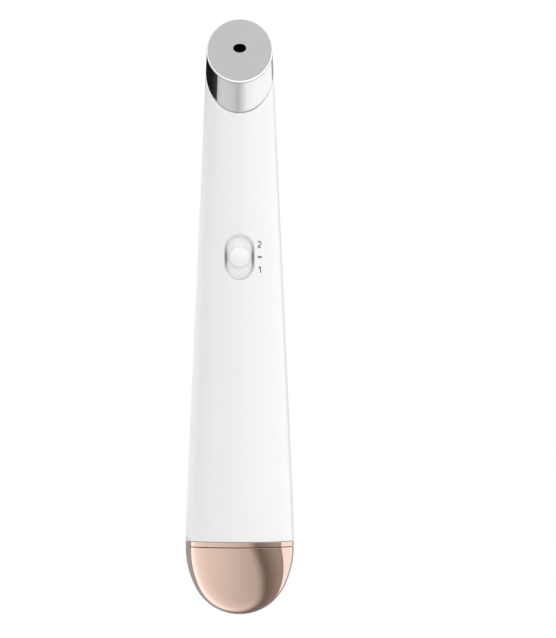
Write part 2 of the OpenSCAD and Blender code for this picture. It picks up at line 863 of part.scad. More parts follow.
// The battery spring: one conical coil of round wire, drawn in towards the cell
module cap_spring() {
    sides = 6;
    rings = 8 * spring_curls;
    wire_half = spring_wire_d / 2;
    low_z = liner_floor_z + contact_t + wire_half + fit_gap / 2;
    high_z = cell_z - wire_half - fit_gap;
    low_r = contact_r - contact_t - spring_wire_d - 0.3;
    high_r = nub_d / 2 + 0.5;
    points = [
        for (i = [0 : rings], j = [0 : sides - 1])
            let (
                part = i / rings,
                turn = 360 * spring_curls * part,
                r = low_r + (high_r - low_r) * part + wire_half * cos(360 * j / sides),
                z = low_z + (high_z - low_z) * part + wire_half * sin(360 * j / sides)
            )
            [r * cos(turn), r * sin(turn), z]
    ];
    skin = [
        for (i = [0 : rings - 1], j = [0 : sides - 1])
            let (
                a = i * sides + j,
                b = i * sides + (j + 1) % sides
            )
            each [[a, b, a + sides], [b, b + sides, a + sides]]
    ];
    ends = [
        for (j = [1 : sides - 2])
            each [[0, j + 1, j], [rings * sides, rings * sides + j, rings * sides + j + 1]]
    ];
    color("silver") polyhedron(points, concat(skin, ends));
}

module cap_seal() {
    color("black") rotate_extrude($fn = turn_fn)
        translate([seal_ring_r, seal_ring_z]) circle(d = seal_ring_d, $fn = small_fn);
}

body_shell();
head_cap();
head_seal();
head_plug();
thermal_pad();
heater_plate();
thermistor();
led();
led_lens();
slider_button();
switch_lever();
slider_retainer();
switch_housing();
circuit_board();
board_components();
board_screws();
chassis_front();
chassis_rear();
motor_can();
motor_sleeve();
motor_shaft();
eccentric_weight();
heater_leads();
led_leads();
motor_leads();
battery_cell();
positive_contact();
negative_strip();
neck_sleeve();
collar_ring();
end_cap();
cap_liner();
cap_contact();
cap_spring();
cap_seal();
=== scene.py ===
# A slim cordless heated eye massager wand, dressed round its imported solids.
# Metres, +Z from the end cap's tip to the head; the switch and the slanted face look to -Y.
import math

import bmesh
import bpy
import numpy as np
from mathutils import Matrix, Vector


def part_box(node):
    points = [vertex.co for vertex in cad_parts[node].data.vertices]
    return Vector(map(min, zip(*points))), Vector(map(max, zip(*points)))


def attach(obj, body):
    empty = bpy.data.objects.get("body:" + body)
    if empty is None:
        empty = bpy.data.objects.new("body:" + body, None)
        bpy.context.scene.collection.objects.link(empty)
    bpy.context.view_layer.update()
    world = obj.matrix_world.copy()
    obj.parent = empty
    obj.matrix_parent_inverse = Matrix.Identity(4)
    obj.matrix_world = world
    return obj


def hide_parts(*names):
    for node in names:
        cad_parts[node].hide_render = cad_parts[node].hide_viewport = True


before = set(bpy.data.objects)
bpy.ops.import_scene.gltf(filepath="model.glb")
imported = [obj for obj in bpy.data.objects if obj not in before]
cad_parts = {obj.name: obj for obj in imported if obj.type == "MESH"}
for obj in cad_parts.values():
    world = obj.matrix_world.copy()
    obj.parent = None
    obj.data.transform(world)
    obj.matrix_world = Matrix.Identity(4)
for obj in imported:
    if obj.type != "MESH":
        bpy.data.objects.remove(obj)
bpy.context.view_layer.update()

# ---------------------------------------------------------------------------------------------
# Studio: a long lens level with the middle of the wand, a pale floor and a soft light tent.
# The tent is the world itself: bright sides, a grey top that the satin face mirrors, and the
# dark flags that draw the bands on the chrome head and on the rose-gold cap.
MM = 0.001
scene = bpy.context.scene
scene.view_settings.view_transform = "Standard"

VIEW_DISTANCE = 1.4
VIEW_FIELD = 0.1558
VIEW_RIGHT = 0.00935
VIEW_HEIGHT = 0.0721
SENSOR = 36.0

camera = bpy.data.cameras.new("camera")
camera.sensor_width = SENSOR
camera.lens = SENSOR * VIEW_DISTANCE / VIEW_FIELD
camera.clip_start = 0.01
camera_object = bpy.data.objects.new("camera", camera)
camera_object.location = (VIEW_RIGHT, -VIEW_DISTANCE, VIEW_HEIGHT)
camera_object.rotation_euler = (math.pi / 2, 0.0, 0.0)
scene.collection.objects.link(camera_object)
scene.camera = camera_object


def put(tree, kind, inputs=None, **settings):
    """One shader node: settings are its properties, inputs are values or sockets to link."""
    made = tree.nodes.new(kind)
    for name, value in settings.items():
        setattr(made, name, value)
    for name, value in (inputs or {}).items():
        if isinstance(value, bpy.types.NodeSocket):
            tree.links.new(value, made.inputs[name])
        else:
            made.inputs[name].default_value = value
    return made


def sum_of(tree, operation, first, second=0.0, third=0.0):
    """The result of one Math node on up to three numbers or sockets."""
    return put(tree, "ShaderNodeMath", {0: first, 1: second, 2: third}, operation=operation).outputs[0]


def step_up(tree, value, low, high, out_low=0.0, out_high=1.0):
    """A smooth step of value from out_low to out_high between low and high."""
    inputs = {"Value": value, "From Min": low, "From Max": high, "To Min": out_low, "To Max": out_high}
    return put(tree, "ShaderNodeMapRange", inputs, interpolation_type="SMOOTHSTEP").outputs["Result"]


def blend_of(tree, factor, first, second):
    """first where factor is 0 and second where it is 1, as one number."""
    inputs = {0: factor, 2: first, 3: second}
    return put(tree, "ShaderNodeMix", inputs, data_type="FLOAT").outputs[0]


def grey_ramp(tree, value, stops):
    """A grey level along value, through stops of (place, level); levels may pass 1."""
    top = max(level for place, level in stops)
    ramp = put(tree, "ShaderNodeValToRGB", {"Fac": value})
    band = ramp.color_ramp
    while len(band.elements) < len(stops):
        band.elements.new(0.5)
    for element, (place, level) in zip(band.elements, stops):
        element.position = place
        element.color = (level / top, level / top, level / top, 1.0)
    return sum_of(tree, "MULTIPLY", ramp.outputs["Color"], top)


def tint_of(tree, factor, first, second):
    """first where factor is 0 and second where it is 1, as one colour."""
    inputs = {0: factor, 6: first, 7: second}
    return put(tree, "ShaderNodeMix", inputs, data_type="RGBA").outputs[2]


def low_tent(tree, direction, x, y, z):
    """What the gold cap mirrors, below the horizon. Front: grey, lighter to the left. Back left:
    a bright rim, then a cool dark. Right: a warm dark flag, soft up to the plane 0.593x + 0.452y
    + 0.668z = 0, and over the curve z = 0.19 - 1.41y + 0.92y^2 a bright window."""
    sweep = sum_of(tree, "SUBTRACT", y, sum_of(tree, "MULTIPLY", x, 0.3))
    rim = grey_ramp(tree, sum_of(tree, "MULTIPLY_ADD", sweep, 0.5, 0.5), [
        (0.0, 0.0), (0.5, 0.0), (0.65, 0.07), (0.75, 0.14),
        (0.80, 0.20), (0.85, 0.36), (0.89, 0.55), (0.915, 0.60),
    ])
    low = sum_of(tree, "ADD", sum_of(tree, "MULTIPLY_ADD", x, -0.2, 0.63), rim)
    over = put(tree, "ShaderNodeVectorMath", {0: direction, 1: (0.593, 0.452, 0.668)},
               operation="DOT_PRODUCT").outputs["Value"]
    flag_near, flag_far = (0.19, 0.163, 0.148, 1.0), (0.38, 0.369, 0.342, 1.0)
    flag = tint_of(tree, step_up(tree, over, 0.0, 0.6), flag_near, flag_far)
    low = tint_of(tree, step_up(tree, over, -0.33, 0.02), low, flag)
    back = sum_of(tree, "MULTIPLY_ADD", z, 0.15, sweep)
    cool_dark = (0.38, 0.41, 0.44, 1.0)
    low = tint_of(tree, step_up(tree, back, 0.82, 0.85), low, cool_dark)
    bow = sum_of(tree, "MULTIPLY", y, sum_of(tree, "MULTIPLY_ADD", y, -0.92, 1.41))
    above = sum_of(tree, "ADD", sum_of(tree, "SUBTRACT", z, 0.19), bow)
    window = sum_of(tree, "MULTIPLY", step_up(tree, above, -0.01, 0.01), step_up(tree, x, 0.27, 0.33))
    return tint_of(tree, window, low, step_up(tree, y, 0.86, 0.90, 1.1, 0.5))


def high_tent(tree, x, y, z):
    """What head and tube mirror, round the horizon and above. A surface that leans back by t
    mirrors z = 0.045 + c sin 2t with c = sqrt((1 - y) / 2), so the head's wall sees a thin strip:
    a black flag on the left, grey in front, white on the right with a grey edge. Its rim sees the
    white fill over that, its face the grey zenith. Under the strip, on the tube's left, a grey
    card turns to a white one behind the tube."""
    turn = sum_of(tree, "ARCTAN2", x, sum_of(tree, "MULTIPLY", y, -1.0))
    turn = sum_of(tree, "MULTIPLY_ADD", turn, 0.5 / math.pi, 0.5)
    strip = grey_ramp(tree, turn, [
        (0.0, 0.006), (0.20, 0.012), (0.272, 0.05), (0.283, 0.62), (0.33, 0.75), (0.44, 0.69),
        (0.485, 0.56), (0.51, 0.68), (0.57, 1.05), (0.67, 1.16), (0.88, 1.16), (0.905, 0.40),
        (0.95, 0.40), (0.97, 0.8), (1.0, 0.8),
    ])
    side = sum_of(tree, "SQRT", sum_of(tree, "MULTIPLY_ADD", y, -0.5, 0.5))
    lean = sum_of(tree, "DIVIDE", sum_of(tree, "SUBTRACT", z, 0.045), sum_of(tree, "MAXIMUM", side, 0.05))
    fill = sum_of(tree, "MULTIPLY_ADD", x, 0.24, 1.30)
    high = blend_of(tree, step_up(tree, lean, 0.15, 0.25), strip, fill)
    high = blend_of(tree, step_up(tree, z, 0.78, 0.95), high, 0.65)
    behind = sum_of(tree, "MULTIPLY", step_up(tree, y, 0.6, 0.8), step_up(tree, z, 0.15, 0.3))
    high = blend_of(tree, behind, high, 0.20)
    under = sum_of(tree, "SUBTRACT", sum_of(tree, "MULTIPLY_ADD", side, 0.083, 0.038), z)
    card = sum_of(tree, "MULTIPLY", step_up(tree, under, -0.001, 0.001), step_up(tree, y, -0.3, -0.2))
    card = sum_of(tree, "MULTIPLY", card, step_up(tree, x, 0.0, -0.1))
    return blend_of(tree, card, high, step_up(tree, y, 0.3, 0.6, 0.35, 1.05))


def light_tent():
    """The world. What a ray sees depends on its direction alone: under the plane z = -0.038 the low
    tent, over it the high one. Camera rays see plain white."""
    world = bpy.data.worlds.new("light_tent")
    world.use_nodes = True
    scene.world = world
    tree = world.node_tree
    tree.nodes.clear()
    direction = put(tree, "ShaderNodeTexCoord").outputs["Generated"]
    x, y, z = put(tree, "ShaderNodeSeparateXYZ", {0: direction}).outputs
    low = low_tent(tree, direction, x, y, z)
    high = high_tent(tree, x, y, z)
    level = tint_of(tree, step_up(tree, z, -0.0382, -0.0372), low, high)
    seen = put(tree, "ShaderNodeLightPath").outputs["Is Camera Ray"]
    level = tint_of(tree, seen, level, (1.0, 1.0, 1.0, 1.0))
    background = put(tree, "ShaderNodeBackground", {"Color": level, "Strength": 1.0})
    output = put(tree, "ShaderNodeOutputWorld")
    tree.links.new(background.outputs[0], output.inputs["Surface"])


light_tent()


FLOOR_GREY = 0.86
FLOOR_GLOW = 0.12


def floor_material():
    """Pale matt floor that keeps the shadow; a little of its own light lifts it to the backdrop."""
    material = bpy.data.materials.new("pale_floor")
    material.use_nodes = True
    tree = material.node_tree
    shader = tree.nodes["Principled BSDF"]
    shader.inputs["Base Color"].default_value = (FLOOR_GREY, FLOOR_GREY, FLOOR_GREY, 1.0)
    shader.inputs["Roughness"].default_value = 0.9
    shader.inputs["Specular IOR Level"].default_value = 0.0
    shader.inputs["Emission Color"].default_value = (1.0, 1.0, 1.0, 1.0)
    seen = put(tree, "ShaderNodeLightPath").outputs["Is Camera Ray"]
    tree.links.new(sum_of(tree, "MULTIPLY", seen, FLOOR_GLOW), shader.inputs["Emission Strength"])
    return material


# The wand hangs over the floor, high enough for its cap to be drawn off downwards
FLOOR_HALF = 3.0
FLOOR_Z = -34.0 * MM
floor_mesh = bpy.data.meshes.new("floor")
floor_mesh.from_pydata(
    [(-FLOOR_HALF, -FLOOR_HALF, FLOOR_Z), (FLOOR_HALF, -FLOOR_HALF, FLOOR_Z),
     (FLOOR_HALF, FLOOR_HALF, FLOOR_Z), (-FLOOR_HALF, FLOOR_HALF, FLOOR_Z)],
    [], [(0, 1, 2, 3)],
)
floor = bpy.data.objects.new("floor", floor_mesh)
floor.data.materials.append(floor_material())
floor.visible_glossy = False
scene.collection.objects.link(floor)

# ---------------------------------------------------------------------------------------------
# Body tube: one moulded tube of glossy white plastic, straight at the foot, then narrowing in a
# soft shoulder to a long taper. A flared stadium recess lets the slide knob through its front.
TAPER = math.radians(2.6)
SHOULDER = 12.0 * MM
WALL = 1.8 * MM
SEAL_HALF = 0.1 * MM
EDGE = 0.08 * MM
FOOT_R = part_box("collar_ring")[1][0]
FOOT_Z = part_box("collar_ring")[1][2]
ARC_R = SHOULDER / math.sin(TAPER)
CONE_Z = FOOT_Z + SHOULDER
CONE_K = FOOT_R - ARC_R * (1 - math.cos(TAPER)) + CONE_Z * math.tan(TAPER)
SLOPE = math.tan(TAPER)
FACE_TILT = math.radians(45.0)
FACE_BACK_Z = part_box("head_cap")[1][2]
FACE_Z = FACE_BACK_Z * (1 + SLOPE * math.tan(FACE_TILT)) - CONE_K * math.tan(FACE_TILT)
FACE_FRONT_Z = (FACE_Z - CONE_K * math.tan(FACE_TILT)) / (1 - SLOPE * math.tan(FACE_TILT))
SEAM_FRONT_Z = FACE_FRONT_Z - 7.7 * MM
SEAM_BACK_Z = FACE_BACK_Z - 3.3 * MM

WELD = 0.002 * MM
AROUND = 240
TURN = np.linspace(-math.pi, math.pi, AROUND, endpoint=False)


def outer_radius(z):
    """Tube radius at height z: the foot's radius, then an arc of ARC_R tangent to it, then a cone."""
    z = np.asarray(z, float)
    arc = FOOT_R - ARC_R + np.sqrt(np.maximum(ARC_R ** 2 - (z - FOOT_Z) ** 2, 0.0))
    return np.where(z <= FOOT_Z, FOOT_R, np.where(z <= CONE_Z, arc, CONE_K - z * SLOPE))


SEAM_TILT = math.atan((SEAM_BACK_Z - SEAM_FRONT_Z)
                      / float(outer_radius(SEAM_FRONT_Z) + outer_radius(SEAM_BACK_Z)))
SEAM_Z = SEAM_FRONT_Z + float(outer_radius(SEAM_FRONT_Z)) * math.tan(SEAM_TILT)


def plane_height(axis_z, tilt, turn, inset=0.0):
    """Height at which a slanted plane cuts the taper, moved inwards by inset, at each turn from
    the front: z = (z0 - (K - inset) tan t cos a) / (1 - slope tan t cos a)."""
    lean = math.tan(tilt) * np.cos(turn)
    return (axis_z - (CONE_K - inset) * lean) / (1 - SLOPE * lean)


def ring_points(radius, turn, z):
    """Points at a radius and a turn from the front (-Y), towards +X."""
    radius, turn, z = np.broadcast_arrays(radius, turn, z)
    return np.stack([radius * np.sin(turn), -radius * np.cos(turn), z], -1)


def grid_faces(rows, cols, wrap_rows=False, start=0):
    """Quads between neighbouring rings: point (i, j) is start + i * cols + j."""
    i, j = np.meshgrid(np.arange(rows if wrap_rows else rows - 1), np.arange(cols), indexing="ij")
    up = (i + 1) % rows
    side = (j + 1) % cols
    quads = np.stack([i * cols + j, i * cols + side, up * cols + side, up * cols + j], -1)
    return start + quads


def make_piece(name, points, faces, body, replaced, materials, turn_out=False):
    """A mesh object from points and faces: doubles merged, poles closed, shaded smooth."""
    mesh = bpy.data.meshes.new(name)
    mesh.from_pydata(np.asarray(points).reshape(-1, 3).tolist(), [], np.asarray(faces).tolist())
    welded = bmesh.new()
    welded.from_mesh(mesh)
    bmesh.ops.remove_doubles(welded, verts=welded.verts, dist=WELD)
    if turn_out:
        bmesh.ops.recalc_face_normals(welded, faces=welded.faces)
    welded.to_mesh(mesh)
    welded.free()
    mesh.shade_smooth()
    piece = bpy.data.objects.new(name, mesh)
    scene.collection.objects.link(piece)
    for material in materials:
        mesh.materials.append(material)
    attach(piece, body)
    if replaced:
        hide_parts(*replaced)
    return piece


# The recess, in millimetres of the tube's front line: x across, z along
SLIDE_Z = 0.5 * (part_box("switch_housing")[0][2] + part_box("switch_housing")[1][2])
RECESS_R = 2.9 * MM
RECESS_STRAIGHT = 2.0 * MM
RECESS_DEPTH = 1.2 * MM
RECESS_FLARE = 0.8 * MM
RECESS_CALM = 0.9 * MM
FLARE_STRAIGHT = 0.75
# Reach and strength of the painted shade that darkens the recess wall beside the knob and at its low end
RECESS_FADE = 3.2 * MM
DARK_BESIDE = 0.78
DARK_LOW = 0.34
LIP = 0.04 * MM
POCKET = (3.65 * MM, 11.0 * MM, 2.1 * MM)
SEAT = (4.55 * MM, 11.9 * MM)
PATCH_COLS = 25
PATCH_HALF = 13.5 * MM
PATCH_ROWS = 45


def stadium(angle, straight, radius):
    """Point where a ray at angle from the centre meets a stadium with straight half length along
    z and round ends: x = radius on the sides, else t = s sin f + sqrt(radius^2 - s^2 cos^2 f)."""
    side = radius / np.maximum(np.abs(np.cos(angle)), 1e-9)
    flat = side * np.abs(np.sin(angle)) <= straight
    inside = np.maximum(radius ** 2 - (straight * np.cos(angle)) ** 2, 0.0)
    length = np.where(flat, side, straight * np.abs(np.sin(angle)) + np.sqrt(inside))
    return length * np.cos(angle), length * np.sin(angle)


def body_rings():
    """Rings of the tube as a closed section: up the outside, over the slanted rim, down the bore.
    Rows are laid so that a rectangle round the recess falls on rings and columns."""
    quarter = np.linspace(0, math.pi / 2, 5)
    low_z, high_z = SLIDE_Z - PATCH_HALF, SLIDE_Z + PATCH_HALF
    seam = SEAM_Z - SEAL_HALF / math.cos(SEAM_TILT)
    top_out = plane_height(seam, SEAM_TILT, TURN)
    top_in = plane_height(seam, SEAM_TILT, TURN, WALL)
    rings = []
    for turn in quarter[:-1]:
        rings.append((EDGE * (1 - math.sin(turn)), np.full(AROUND, FOOT_Z + EDGE * (1 - math.cos(turn)))))
    for z in np.linspace(FOOT_Z + EDGE, CONE_Z, 14)[:-1]:
        rings.append((0.0, np.full(AROUND, z)))
    for z in np.linspace(CONE_Z, low_z, 40)[:-1]:
        rings.append((0.0, np.full(AROUND, z)))
    first = len(rings)
    for z in np.linspace(low_z, high_z, PATCH_ROWS + 1):
        rings.append((0.0, np.full(AROUND, z)))
    for part in np.linspace(0, 1, 24)[1:]:
        rings.append((0.0, high_z + (top_out - EDGE - high_z) * part))
    for turn in quarter[1:]:
        rings.append((EDGE * (1 - math.cos(turn)), top_out - EDGE * (1 - math.sin(turn))))
    for part in np.linspace(0, 1, 12)[:-1]:
        rings.append((WALL, top_in + (high_z - top_in) * part))
    second = len(rings)
    for z in np.linspace(high_z, low_z, PATCH_ROWS + 1):
        rings.append((WALL, np.full(AROUND, z)))
    for z in np.linspace(low_z, FOOT_Z, 30)[1:]:
        rings.append((WALL, np.full(AROUND, z)))
    inset = np.array([ring[0] for ring in rings])[:, None]
    height = np.stack([ring[1] for ring in rings])
    radius = outer_radius(height) - inset
    return ring_points(radius, TURN[None, :], height), first, second


def recess_patch(grid, first, second):
    """The rectangle round the recess, outside and in the bore, drawn in to the stadium's lip.
    Outside: rings of wider stadiums sink by depth times a step s that runs from 0 at the flare's
    outer edge to 1 at the lip, FLARE_STRAIGHT of it straight and the rest s^2 (3 - 2s). Inside:
    the flat pocket of the shutter and the seat of its plate."""
    middle = AROUND // 2
    left, right = middle - PATCH_COLS, middle + PATCH_COLS
    across = np.arange(left, right)
    along = np.arange(PATCH_ROWS)
    cols = np.concatenate([across, np.full(PATCH_ROWS, right), across[::-1] + 1, np.full(PATCH_ROWS, left)])
    rows = np.concatenate([np.zeros_like(across), along, np.full(across.size, PATCH_ROWS), along[::-1] + 1])
    outer_ids = (first + rows) * AROUND + cols
    inner_ids = (second + PATCH_ROWS - rows) * AROUND + cols
    u = (cols - middle) / PATCH_COLS
    v = (rows - PATCH_ROWS / 2) / (PATCH_ROWS / 2)
    angle = np.arctan2(v * (RECESS_R + RECESS_STRAIGHT), u * RECESS_R)

    def on_surface(x, z, inset):
        return -np.sqrt((outer_radius(z) - inset) ** 2 - x ** 2)

    def on_plane(z, depth):
        return -(CONE_K - z * SLOPE) + depth / math.cos(TAPER)

    rings = []
    reach = RECESS_FLARE + RECESS_CALM
    x_far, z_far = stadium(angle, RECESS_STRAIGHT, RECESS_R + reach)
    edge_x = grid.reshape(-1, 3)[outer_ids, 0]
    edge_z = grid.reshape(-1, 3)[outer_ids, 2]
    for part in np.linspace(0, 1, 10)[1:]:
        x = edge_x + (x_far - edge_x) * part
        z = edge_z + (SLIDE_Z + z_far - edge_z) * part
        rings.append((x, on_surface(x, z, 0.0), z))
    calm_steps = np.linspace(reach, RECESS_FLARE, 5)[1:]
    flare_steps = np.linspace(RECESS_FLARE, 0, 15)[1:]
    for away in np.concatenate([calm_steps, flare_steps]):
        x, dz = stadium(angle, RECESS_STRAIGHT, RECESS_R + away)
        z = SLIDE_Z + dz
        step = np.clip(1 - away / RECESS_FLARE, 0, 1)
        sink = FLARE_STRAIGHT * step + (1 - FLARE_STRAIGHT) * step * step * (3 - 2 * step)
        surface = on_surface(x, z, 0.0)
        rings.append((x, surface + (on_plane(z, RECESS_DEPTH - LIP) - surface) * sink, z))
    x, dz = stadium(angle, RECESS_STRAIGHT, RECESS_R)
    rings.append((x, on_plane(SLIDE_Z + dz, RECESS_DEPTH), SLIDE_Z + dz))
    half_w, half_l, deep = POCKET
    for width, length, depth in [(half_w, half_l, RECESS_DEPTH), (half_w, half_l, deep), (*SEAT, deep)]:
        x, z = u * width, SLIDE_Z + v * length
        rings.append((x, on_plane(z, depth), z))
    x, z = u * SEAT[0], SLIDE_Z + v * SEAT[1]
    rings.append((x, on_surface(x, z, WALL), z))
    new_points = np.stack([np.stack(ring, -1) for ring in rings])
    count = outer_ids.size
    start = grid.shape[0] * AROUND
    ids = start + np.arange(len(rings) * count).reshape(len(rings), count)
    ids = np.concatenate([outer_ids[None], ids, inner_ids[None]])
    after = np.roll(ids, -1, axis=1)
    faces = np.stack([ids[:-1], after[:-1], after[1:], ids[1:]], -1).reshape(-1, 4)
    return new_points, faces, left, right


def body_mesh():
    """The tube's rings with the two rectangles left out, and the recess patch sewn in there."""
    grid, first, second = body_rings()
    quads = grid_faces(grid.shape[0], AROUND, wrap_rows=True)
    patch_points, patch_faces, left, right = recess_patch(grid, first, second)
    keep = np.ones(quads.shape[:2], bool)
    keep[first:first + PATCH_ROWS, left:right] = False
    keep[second:second + PATCH_ROWS, left:right] = False
    points = np.concatenate([grid.reshape(-1, 3), patch_points.reshape(-1, 3)])
    return points, np.concatenate([quads[keep], patch_faces])


def skin_group():
    """Node group moulded_skin: fine flow and touch marks of a moulded or polished surface.
    Out come a roughness that varies a little, a height for a bump, and a slight shade."""
    group = bpy.data.node_groups.new("moulded_skin", "ShaderNodeTree")
    for name, kind, value in [("Vector", "NodeSocketVector", None), ("Scale", "NodeSocketFloat", 600.0),
                              ("Roughness", "NodeSocketFloat", 0.3), ("Spread", "NodeSocketFloat", 0.1)]:
        socket = group.interface.new_socket(name, in_out="INPUT", socket_type=kind)
        if value is not None:
            socket.default_value = value
    for name in ("Roughness", "Height", "Shade"):
        group.interface.new_socket(name, in_out="OUTPUT", socket_type="NodeSocketFloat")
    enter = put(group, "NodeGroupInput")
    leave = put(group, "NodeGroupOutput")
    fine = put(group, "ShaderNodeTexNoise", {"Vector": enter.outputs["Vector"],
               "Scale": enter.outputs["Scale"], "Detail": 4.0, "Roughness": 0.6})
    broad_scale = sum_of(group, "MULTIPLY", enter.outputs["Scale"], 0.06)
    broad = put(group, "ShaderNodeTexNoise", {"Vector": enter.outputs["Vector"],
                "Scale": broad_scale, "Detail": 3.0, "Roughness": 0.5})
    change = sum_of(group, "SUBTRACT", broad.outputs["Fac"], 0.5)
    change = sum_of(group, "MULTIPLY", change, enter.outputs["Spread"])
    rough = put(group, "ShaderNodeMath", {0: enter.outputs["Roughness"], 1: change},
                operation="ADD", use_clamp=True)
    group.links.new(rough.outputs[0], leave.inputs["Roughness"])
    group.links.new(fine.outputs["Fac"], leave.inputs["Height"])
    group.links.new(broad.outputs["Fac"], leave.inputs["Shade"])
    return group


moulded_skin = skin_group()


def skinned_material(name, colour, roughness, spread=0.08, scale=600.0, bump=0.02, shade=0.03,
                     metallic=0.0, specular=0.5, depth=None):
    """A moulded, cast or polished finish: one base colour, shaded and roughened by moulded_skin,
    and darkened towards black by the painted shade held in the attribute named in depth."""
    material = bpy.data.materials.new(name)
    material.use_nodes = True
    tree = material.node_tree
    shader = tree.nodes["Principled BSDF"]
    place = put(tree, "ShaderNodeTexCoord").outputs["Object"]
    skin = put(tree, "ShaderNodeGroup", {}, node_tree=moulded_skin)
    tree.links.new(place, skin.inputs["Vector"])
    skin.inputs["Scale"].default_value = scale
    skin.inputs["Roughness"].default_value = roughness
    skin.inputs["Spread"].default_value = spread
    darker = tuple(channel * (1 - shade) for channel in colour) + (1.0,)
    base = tint_of(tree, skin.outputs["Shade"], darker, tuple(colour) + (1.0,))
    if depth:
        # Painted shade: the attribute darkens the base colour towards black
        dark = put(tree, "ShaderNodeAttribute", attribute_name=depth).outputs["Fac"]
        base = tint_of(tree, dark, base, (0.0, 0.0, 0.0, 1.0))
    tree.links.new(base, shader.inputs["Base Color"])
    tree.links.new(skin.outputs["Roughness"], shader.inputs["Roughness"])
    shader.inputs["Metallic"].default_value = metallic
    shader.inputs["Specular IOR Level"].default_value = specular
    relief = put(tree, "ShaderNodeBump", {"Strength": bump, "Distance": 0.02 * MM,
                                          "Height": skin.outputs["Height"]})
    tree.links.new(relief.outputs["Normal"], shader.inputs["Normal"])
    return material


def shade_recess(piece):
    """Point attribute recess_depth: painted shade on the flared wall round the knob, how dark
    it gets. Beside the knob it is a flat half wave across the wall that fades up and down; at the low
    end it is a weaker half wave near the wall's outer edge. Zero everywhere else."""
    count = len(piece.data.vertices)
    points = np.empty(count * 3, np.float32)
    piece.data.vertices.foreach_get("co", points)
    x, y, z = points.reshape(-1, 3).T
    up = z - SLIDE_Z
    past = up - np.clip(up, -RECESS_STRAIGHT, RECESS_STRAIGHT)
    length = np.maximum(np.hypot(x, past), 1e-9)
    across = np.clip((length - RECESS_R) / RECESS_FLARE, 0, 1)
    wave = np.maximum(np.sin(math.pi * across), 0.0)
    beside = DARK_BESIDE * np.exp(-(up / RECESS_FADE) ** 2) * wave ** 0.4
    low_end = DARK_LOW * np.clip(-past / length, 0, 1) ** 1.5 * np.sin(math.pi * across ** 2)
    shade = np.clip(np.maximum(beside, low_end), 0, 1)
    shade[(y > -0.7 * outer_radius(z)) | (np.abs(up) > POCKET[1])] = 0.0
    # The painted shade is stored on the points for the material to read
    depth = piece.data.attributes.new("recess_depth", "FLOAT", "POINT")
    depth.data.foreach_set("value", shade.astype(np.float32))


# The tube's white, darkened on the recess wall by the painted shade from shade_recess
gloss_white = skinned_material("gloss_white", (0.87, 0.87, 0.872), 0.16, spread=0.05, scale=350.0,
                               shade=0.015, depth="recess_depth")
body_points, body_faces = body_mesh()
body = make_piece("body_tube", body_points, body_faces, "housing", ["body_shell"],
                  [gloss_white], turn_out=True)
shade_recess(body)

# ---------------------------------------------------------------------------------------------
# Seam gasket: a thin grey silicone ring pressed between the tube's slanted rim and the head.
# It shows only as the fine dark line of the seam.
seal_rubber = skinned_material("seal_rubber", (0.42, 0.42, 0.425), 0.55, spread=0.15, scale=900.0, bump=0.1)


def dress(material, *names):
    """Gives CAD nodes their material."""
    for name in names:
        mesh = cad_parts[name].data
        mesh.materials.clear()
        mesh.materials.append(material)


dress(seal_rubber, "head_seal")

# ---------------------------------------------------------------------------------------------
# Head: a deep-drawn metal cap, chromed to a mirror on its wall and rim and blasted to a satin
# finish on the slanted treatment face, glued over the insulating plug. A near-black hairline ring
# of painted shade runs round it, where the wall meets the rolled rim.
HEAD_WALL = 1.0 * MM
RIM = 0.45 * MM
BASE_EDGE = 0.015 * MM
CRISP = 0.05 * MM
HOLE_R = 0.5 * 3.1 * MM
HOLE_EDGE = 0.03 * MM
SHADE_LINE_W = 0.12 * MM
SHADE_LINE_PROUD = 0.01 * MM
SHADE_LINE_DEEP = 0.1 * MM
SATIN_LIMIT = 0.9995


